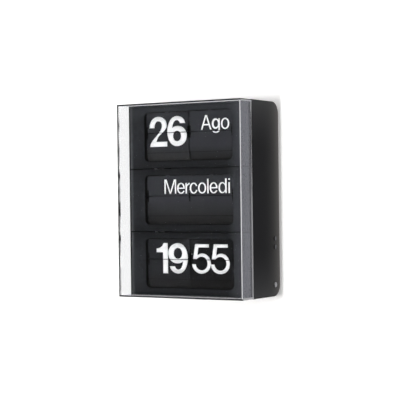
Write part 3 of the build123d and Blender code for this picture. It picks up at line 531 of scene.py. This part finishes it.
def clearAcrylic(look):
    material, tree, surface = newMaterial("clear_acrylic")
    haze = placeGroup(tree, mottle, Colour=midGrey, **look["haze"])
    setInputs(tree, surface, {"Base Color": look["tint"], "IOR": look["index"], "Transmission Weight": 1.0,
                              "Roughness": haze["Roughness"]})
    spot = add(tree, "ShaderNodeSeparateXYZ", Vector=objectPlace(tree))
    x, y, z = spot.outputs["X"], spot.outputs["Y"], spot.outputs["Z"]

    def over(value, level):
        return reckon(tree, "GREATER_THAN", value, level)

    def under(value, level):
        return reckon(tree, "LESS_THAN", value, level)

    def joined(operation, masks):
        result = masks[0]
        for mask in masks[1:]:
            result = reckon(tree, operation, result, mask)
        return result

    def both(*masks):
        return joined("MULTIPLY", masks)

    def either(*masks):
        return joined("MAXIMUM", masks)

    left, right, low, high = -look["half"], look["half"], look["low"], look["high"]
    onFront, onSide = under(y, look["front"]), over(x, right - look["clear"])
    # the rear edge is left as the saw made it, matt and pale
    sawn = both(over(y, look["sawnFrom"]), over(x, look["sawnSide"]))
    # the outline of the front is a painted dark reflection, patchy at the left, where a second line runs
    # inside the first
    atEnds = either(over(z, high - look["endLine"]), under(z, low + look["endLine"]))
    outerLine = both(under(x, left + look["sideLine"]), patchesAlong(tree, z, **look["outerPatches"]))
    innerLine = both(under(x, left + look["innerLine"]), over(x, left + look["sideLine"]),
                     patchesAlong(tree, z, **look["innerPatches"]))
    outline = both(either(atEnds, outerLine, innerLine), under(y, look["front"] + look["fillet"]))
    # painted dark reflection also along the top of the side pane
    dark = either(outline, both(over(z, high - look["endLine"] / 2), onSide))
    # the glued joints are pale lines, at the right and at both ends, partly a frosted joint and partly a
    # painted highlight
    glued = both(over(x, right - look["sideJoint"]), under(x, right - look["clear"]), onFront)
    atTop, atBottom = over(z, high - look["endJoint"]), under(z, low + look["endJoint"])
    # where the side pane meets the case, a painted highlight makes a pale line, strongest below and at the
    # top
    rearEnds = [zoneMask(tree, {"axis": "Z", "from": begin, "to": end}) for begin, end in look["rearEnds"]]
    rearHighlight = both(onSide, over(y, look["rearFrom"]), under(y, look["rearTo"]), either(*rearEnds))
    shares = [(both(atTop, onFront), look["topAmount"]), (both(atBottom, onFront), look["lowAmount"]),
              (both(either(atTop, atBottom), onSide), look["sideAmount"]), (rearHighlight, look["rearAmount"]),
              (glued, look["jointAmount"]), (dark, look["lineAmount"])]
    amount = either(sawn, *(reckon(tree, "MULTIPLY", mask, share) for mask, share in shares))
    pale = placeGroup(tree, mottle, **look["edge"])["Colour"]
    matt = add(tree, "ShaderNodeBsdfDiffuse", Color=blendColours(tree, dark, pale, look["dark"]))
    # lamps shine through the pane
    pane = mixShaders(tree, add(tree, "ShaderNodeLightPath").outputs["Is Shadow Ray"],
                      mixShaders(tree, amount, surface, matt),
                      add(tree, "ShaderNodeBsdfTransparent", Color=look["shadow"]))
    tree.links.new(pane.outputs[0], tree.nodes["Material Output"].inputs["Surface"])
    return material


def dress():
    made = {name: surfaceOf(name, look) for name, look in finishes.items()}
    made["clear_acrylic"] = clearAcrylic(acrylic)
    for display, values in flapTonesAndLight.items():
        made[display + "_sheet"] = surfaceOf(display + "_sheet", sheetFinish(display, values))
    for part in frame["record"]["subparts"]:
        node = nodes[part["node"]]
        name = part["material_slot"]
        if name == "flap_plastic":
            name = part["node"].split("_")[0] + "_sheet"
        # black partly as painted shade inside the closed case
        if part["node"].endswith(("cheek", "plate")):
            name = "black_zinc_and_shade"    # so that nothing bright shows beside the flaps
        node.data.materials.clear()
        node.data.materials.append(made[name])
    return made


paints = dress()
print("finishes on the frame's nodes:", len(paints))

# figures and letters: width and outlines, 100 units from baseline to cap line
# a point is (x, z), (x, z, direction) or (x, z, direction in, direction out), in degrees; a side with no
# direction at either end is straight, and with one it is an even arc
outlines = {
    "0": (72, [[(0, 50, 90), (36, 100, 0), (72, 50, -90), (36, 0, 180)],
               [(20.5, 50, 90), (36, 84, 0), (51.5, 50, -90), (36, 16, 180)]]),
    "1": (44.5, [[(0, 68.5), (24.5, 68.5), (24.5, 0), (44.5, 0), (44.5, 100), (27, 100, None, -105),
                  (0, 82, 180, None)]]),
    "2": (70.3, [[(0.5, 62.5, None, 90), (35.1, 100, 0), (69.3, 71, -90), (38.1, 35.5, -137),
                  (27.5, 16.5, -115, None), (70.3, 16.5), (70.3, 0), (1.8, 0, None, 82), (25.4, 34, 43),
                  (49.8, 71, 90), (35.6, 85, 180), (20.5, 62.5, -90, None)]]),
    "6": (76, [[(0, 47, 90), (37.3, 100, 0), (70.2, 75.5, -84, None), (50.3, 75.5, None, 106),
                (37.3, 86, 180), (19.8, 60.3, -97, 45), (41.6, 67, 0), (76, 34, -90), (38.2, 0, 180)],
               [(22.8, 34, 90), (38.2, 51, 0), (53.6, 34, -90), (38.2, 16.5, 180)]]),
    "7": (70, [[(1, 84), (47, 84, None, -125), (15, 0, -100, None), (38, 0, None, 82), (70, 85, 52, None),
                (70, 100), (1, 100)]]),
    "5": (74.6, [[(13, 100), (67.8, 100), (67.8, 87.5), (27, 87.5), (23.2, 63, None, 32), (40, 69, 0),
                  (74.6, 35, -90), (37, 0, 180), (0, 32.7, 92, None), (15.9, 32.7, None, -88),
                  (37.5, 12.5, 0), (60, 35, 90), (38, 56.6, 180), (19.7, 48.6, -135, None), (4.4, 48.6)]]),
    "six": (74.6, [[(0, 45, 90), (38, 100, 0), (70.5, 75, -80, None), (56, 75, None, 100), (38, 88, 180),
                    (15, 54, -95, 55), (39, 65.5, 0), (74.6, 33, -90), (38, 0, 180)],
                   [(16, 33, 90), (38.5, 53.5, 0), (60, 33, -90), (38.5, 12, 180)]]),
    "A": (87, [[(0, 0), (35.5, 100), (51.5, 100), (87, 0), (72, 0), (62, 29), (24.8, 29), (14.8, 0)],
               [(29, 41), (57.8, 41), (43.5, 85)]]),
    "M": (97, [[(0, 0), (0, 100), (20, 100), (48.5, 19), (77, 100), (97, 100), (97, 0), (83.5, 0),
                (83.5, 80), (55, 0), (42, 0), (13.5, 80), (13.5, 0)]]),
    "G": (92, [[(89, 70, None, 105), (47, 101, 180), (0, 50, -90), (45, -1, 0), (78, 13.5, 48, None),
                (81, 0), (92, 0), (92, 52), (48, 52), (48, 39.5), (76.5, 39.5, None, -90), (47, 11.5, 180),
                (15.5, 50, 90), (47, 88.5, 0), (74, 70, -75, None)]]),
    "S": (84, [[(0, 32), (15, 32, None, -88), (42, 11, 0), (68, 27.5, 90), (44, 44.5, 166), (4, 73, 90),
                (41, 101, 0), (78, 70, -88, None), (63.5, 70, None, 92), (41, 89, 180), (19, 74.5, -90),
                (43, 58, -14), (83.5, 28.5, -90), (41.5, -1, 180), (0, 32, 90, None)]]),
    "o": (66.4, [[(0, 37.8, 90), (33.2, 76.6, 0), (66.4, 37.8, -90), (33.2, -1, 180)],
                 [(14.8, 37.8, 90), (33.2, 65, 0), (51.6, 37.8, -90), (33.2, 10.6, 180)]]),
    "e": (64.4, [[(64.4, 33, None, 90), (63.6, 44, 97), (32.5, 76.6, 180), (0, 37.8, -90), (33, -1, 0),
                  (63, 22, 72, None), (48.5, 22, None, -115), (33, 10.6, 180), (14.8, 33, 95, None)],
                 [(15.2, 43.5, None, 85), (32.5, 65.4, 0), (49.4, 43.5, -85, None)]]),
    "c": (63.5, [[(62.5, 50, None, 100), (33, 76.6, 180), (0, 37.8, -90), (33, -1, 0), (63.5, 27, 82, None),
                  (49, 27, None, -98), (33, 10.6, 180), (14.8, 37.8, 90), (33, 65, 0),
                  (48, 50, -82, None)]]),
    "r": (36.7, [[(0, 0), (0, 75), (13, 75), (13, 62, None, 60), (36.7, 76, 0, None),
                  (36.7, 62.5, None, 183), (14.3, 40, -90, None), (14.3, 0)]]),
    "l": (14.2, [[(0, 0), (0, 100), (14.2, 100), (14.2, 0)]]),
    "i": (14.2, [[(0, 0), (0, 75), (14.2, 75), (14.2, 0)],
                 [(0, 87.5), (0, 100), (14.2, 100), (14.2, 87.5)]]),
    "d": (65.8, [[(65.8, 0), (65.8, 100), (51.6, 100), (51.6, 66, None, 135), (30, 76.6, 180),
                  (0, 37.8, -90), (30, -1, 0), (52.6, 10.5, 45, None), (52.6, 0)],
                 [(14.8, 37.8, 90), (33.2, 65, 0), (51.6, 37.8, -90), (33.2, 10.6, 180)]]),
    "g": (65, [[(65, 75), (52, 75), (52, 65, None, 135), (29.5, 76.6, 180), (0, 39.5, -90), (29.5, 2.5, 0),
                (51, 14, 45, None), (51, 3, None, -90), (33, -12.5, 180), (17.5, -5, 100, None),
                (3.5, -5, None, -85), (33, -23.6, 0), (65, 2, 90, None)],
               [(14.8, 39.5, 90), (33, 65, 0), (51, 39.5, -90), (33, 14, 180)]]),
    "t": (37, [[(9.5, 97), (23.5, 97), (23.5, 75), (37, 75), (37, 64), (23.5, 64), (23.5, 20, None, -90),
                (32, 11.5, 0), (37, 12), (37, 0, None, 185), (27, -1, 180), (9.5, 17, 90, None), (9.5, 64),
                (0, 64), (0, 75), (9.5, 75)]]),
    "v": (63, [[(0, 75), (15, 75), (31.5, 18), (48, 75), (63, 75), (39.5, 0), (23.5, 0)]]),
}
turned = {"9": "6"}    # a nine is a six turned by half
# space after a letter that stands before another, in the same units
letterGaps = {"Me": 7, "er": 4, "rc": -2, "co": 4, "ol": 6, "le": 6, "ed": 6, "di": 12, "Ag": 1, "go": 8,
              "26": 1.0, "19": 1.4, "55": -0.8, "27": 3, "20": 2, "Gi": 9, "io": 8, "ov": 2, "ve": 2,
              "Se": 6, "et": 3}
# mm from the middle of the hinge line: right end, baseline, height of a capital, and thinning all round
lettering = {
    "date": {"now": "26", "next": "27", "right": -4.7, "cap": 54.4, "base": -25.5, "thin": 0.1},
    "month": {"now": "Ago", "next": "Set", "right": 84.2, "cap": 26.0, "base": 1.9, "thin": 0.4},
    "weekday": {"now": "Mercoledi", "next": "Giovedi", "right": 84.1, "cap": 26.0, "base": 3.3, "thin": 0.4},
    "hour": {"now": "19", "next": "20", "right": -5.4, "cap": 54.9, "base": -26.0, "thin": 0.3},
    "minute": {"now": "55", "next": "56", "right": 81.6, "cap": 52.8, "base": -25.3, "thin": 0.4},
}
ink = {
    "thickness": 0.06,        # mm, as the other lengths here
    "flapThickness": 0.3,
    "lowerTop": -1.1,         # the lower half starts below the open line between two flaps
    "behindGap": 0.3,         # from the front of the lower flap to the next upper one
    "steps": 8,               # pieces of each bend
}


def handleReach(start, end, leave, arrive):
    # handle lengths that make a smooth arc between two tangents
    quarterShare, nearlyQuarter, leastTurn = 0.58, 0.01, 0.02
    chord = end - start
    turn = (arrive - leave + math.pi) % (2 * math.pi) - math.pi
    if abs(abs(turn) - math.pi / 2) < nearlyQuarter and abs(math.sin(2 * leave)) < nearlyQuarter:
        first = abs(chord.x * math.cos(leave) + chord.y * math.sin(leave))
        second = abs(chord.x * math.cos(arrive) + chord.y * math.sin(arrive))
        return quarterShare * first, quarterShare * second
    half = max(abs(turn), leastTurn) / 2
    share = (4 / 3) * math.tan(half / 2) / (2 * math.sin(half))
    return share * chord.length, share * chord.length


def tangents(start, end, leave, arrive):
    # directions at both ends of a side in radians; one that isn't given mirrors the other in the chord
    straight = math.atan2(end.y - start.y, end.x - start.x)
    if leave is None and arrive is None:
        return straight, straight
    if leave is None:
        return 2 * straight - math.radians(arrive), math.radians(arrive)
    if arrive is None:
        return math.radians(leave), 2 * straight - math.radians(leave)
    return math.radians(leave), math.radians(arrive)


def drawOutline(curve, points, scale):
    spline = curve.splines.new("BEZIER")
    spline.bezier_points.add(len(points) - 1)
    spline.use_cyclic_u = True
    spline.resolution_u = ink["steps"]
    knots = list(spline.bezier_points)
    for knot in knots:
        knot.handle_left_type = knot.handle_right_type = "FREE"
    sides = zip(knots, knots[1:] + knots[:1], points, points[1:] + points[:1])
    for knot, following, point, nextPoint in sides:
        start, end = Vector(point[:2]) * scale, Vector(nextPoint[:2]) * scale
        leave = point[-1] if len(point) > 2 else None
        arrive = nextPoint[2] if len(nextPoint) > 2 else None
        one, two = tangents(start, end, leave, arrive)
        first, second = handleReach(start, end, one, two)
        knot.co = (*start, 0)
        knot.handle_right = (*(start + first * Vector((math.cos(one), math.sin(one)))), 0)
        following.handle_left = (*(end - second * Vector((math.cos(two), math.sin(two)))), 0)


def glyphMesh(key, cap, thin):
    # drawn larger and then thinned all round, so that the height and the pitch stay
    width, shapes = outlines[turned.get(key, key)]
    pitch = width * cap / 100
    scale = (cap + 2 * thin) / 100
    curve = bpy.data.curves.new("outline", "CURVE")
    curve.dimensions = "2D"
    curve.fill_mode = "FRONT"
    curve.offset = -thin
    for points in shapes:
        drawOutline(curve, points, scale)
    holder = bpy.data.objects.new("outline", curve)
    mesh = bpy.data.meshes.new_from_object(holder)
    if key in turned:
        halfTurn = Matrix.Rotation(math.pi, 4, "Z")
        mesh.transform(Matrix.Translation((width * scale, 100 * scale, 0)) @ halfTurn)
    mesh.transform(Matrix.Translation(((pitch - width * scale) / 2, -thin, 0)))
    bpy.data.objects.remove(holder)
    bpy.data.curves.remove(curve)
    return mesh, pitch


def setLine(text, spec):
    # one flat bmesh of the whole word in the (x, z) plane, its right end at the margin
    scale = spec["cap"] / 100
    line = bmesh.new()
    x = 0
    for n, key in enumerate(text):
        if key == "6" and text[0] == "5":
            key = "six"    # the thin minutes have a six of their own
        mesh, width = glyphMesh(key, spec["cap"], spec["thin"])
        mesh.transform(Matrix.Translation((x, 0, 0)))
        line.from_mesh(mesh)
        bpy.data.meshes.remove(mesh)
        x += width + letterGaps.get(text[n:n + 2], 0) * scale
    bmesh.ops.translate(line, verts=line.verts, vec=(spec["right"] - x, spec["base"], 0))
    bmesh.ops.rotate(line, verts=line.verts, matrix=Matrix.Rotation(math.pi / 2, 3, "X"))
    return line


def cutLine(line, level, keepAbove):
    part = line.copy()
    bmesh.ops.bisect_plane(part, geom=part.verts[:] + part.edges[:] + part.faces[:], dist=1e-5,
                           plane_co=(0, 0, level), plane_no=(0, 0, 1),
                           clear_inner=keepAbove, clear_outer=not keepAbove)
    return part


def printHalf(name, part, y, body, hinge, flip=False):
    # gives the flat lettering its thickness towards the viewer and lays it on its flap
    if not part.faces:
        return
    bmesh.ops.translate(part, verts=part.verts, vec=(0, y, 0))
    raised = bmesh.ops.extrude_face_region(part, geom=part.faces[:], use_keep_orig=True)["geom"]
    bmesh.ops.translate(part, verts=[v for v in raised if isinstance(v, bmesh.types.BMVert)],
                        vec=(0, -ink["thickness"], 0))
    if flip:
        bmesh.ops.rotate(part, verts=part.verts, matrix=Matrix.Rotation(math.pi, 3, "X"), cent=(0, 0, 0))
    bmesh.ops.recalc_face_normals(part, faces=part.faces)
    bmesh.ops.scale(part, verts=part.verts, vec=(mm, mm, mm))
    bmesh.ops.translate(part, verts=part.verts, vec=(0, hinge.y, hinge.z))
    mesh = bpy.data.meshes.new(name)
    part.to_mesh(mesh)
    newPiece(name, mesh, body, inkPaint)


def printDisplay(display, spec):
    # what shows now, and what shows when the leading flap has fallen
    hinge = Vector(joints[display + "_flap_fall"]["pos_m"])
    now, following = setLine(spec["now"], spec), setLine(spec["next"], spec)
    leading, fixed = display + "_flap", "frame"
    behind = ink["flapThickness"]    # the face of the lower flap, behind the hinge line
    printHalf(display + "_now_upper", cutLine(now, 0.0, True), 0.0, leading, hinge)
    printHalf(display + "_now_lower", cutLine(now, ink["lowerTop"], False), behind, fixed, hinge)
    printHalf(display + "_next_upper", cutLine(following, 0.0, True), behind + ink["behindGap"], fixed,
              hinge)
    printHalf(display + "_next_lower", cutLine(following, 0.0, False), -behind, leading, hinge, flip=True)


inkPaint = surfaceOf("print_white", {"colour": grey(0.95), "rough": 0.55, "mottle": 0.06, "grain": 3000.0,
                                     "tone": 0.05, "bump": 0.08})
for display, spec in lettering.items():
    printDisplay(display, spec)
print("lettering printed on", len(lettering), "displays")
